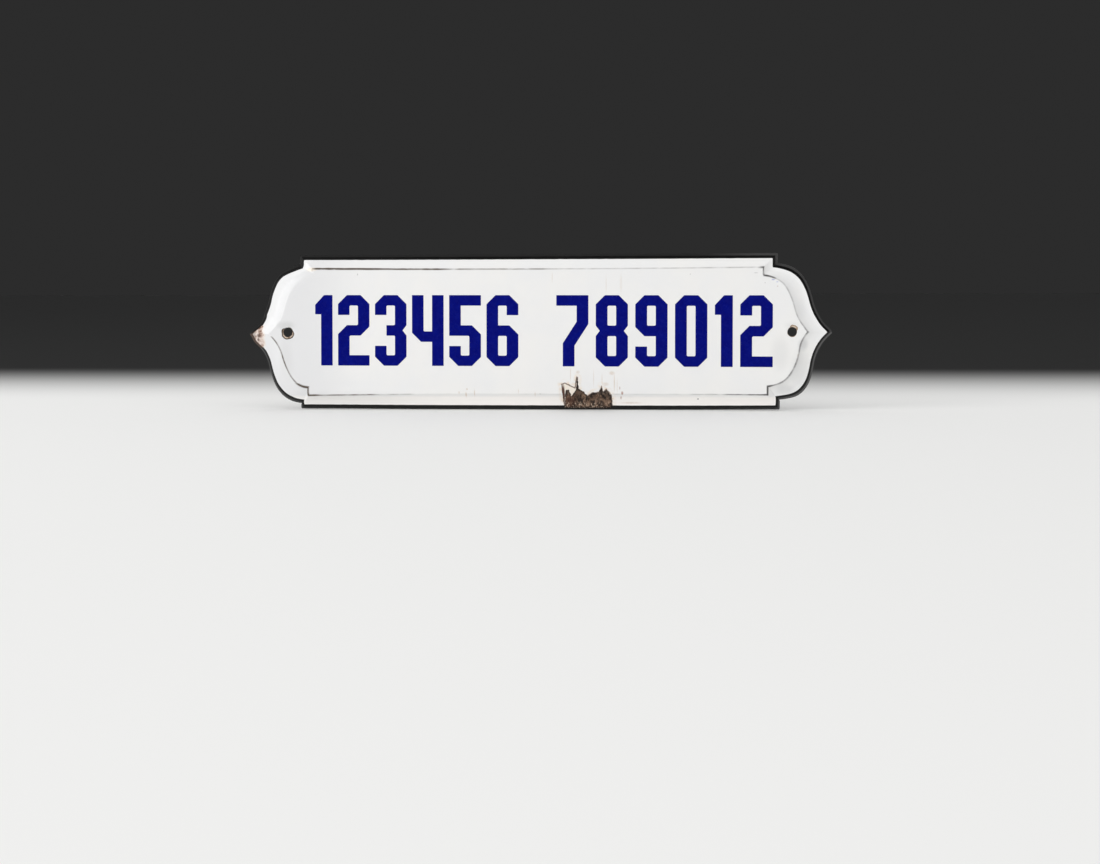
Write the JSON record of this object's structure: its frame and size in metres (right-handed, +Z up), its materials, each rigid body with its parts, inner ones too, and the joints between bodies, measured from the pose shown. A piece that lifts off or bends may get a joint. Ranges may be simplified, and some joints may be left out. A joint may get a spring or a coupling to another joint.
{
  "type": "door plaque",
  "caption": "Long enamelled steel door plaque with stepped, pointed ends, a raised white field, a coved border, a black folded rim and two screw holes.",
  "frame": {"origin": "midway between the two screw holes, on the front face of the raised field", "axes": "the plaque stands upright as it hangs: -Y out of its front, +X to the right as it is read, +Z up"},
  "size_m": [0.382, 0.0075, 0.1016],
  "materials": {
    "enamelled_steel": "glossy white glass enamel on steel, black on the rim and back, blue figures, rust where it is chipped"
  },
  "bodies": {
    "root": {"plaque": "enamelled_steel"}
  },
  "joints": []
}
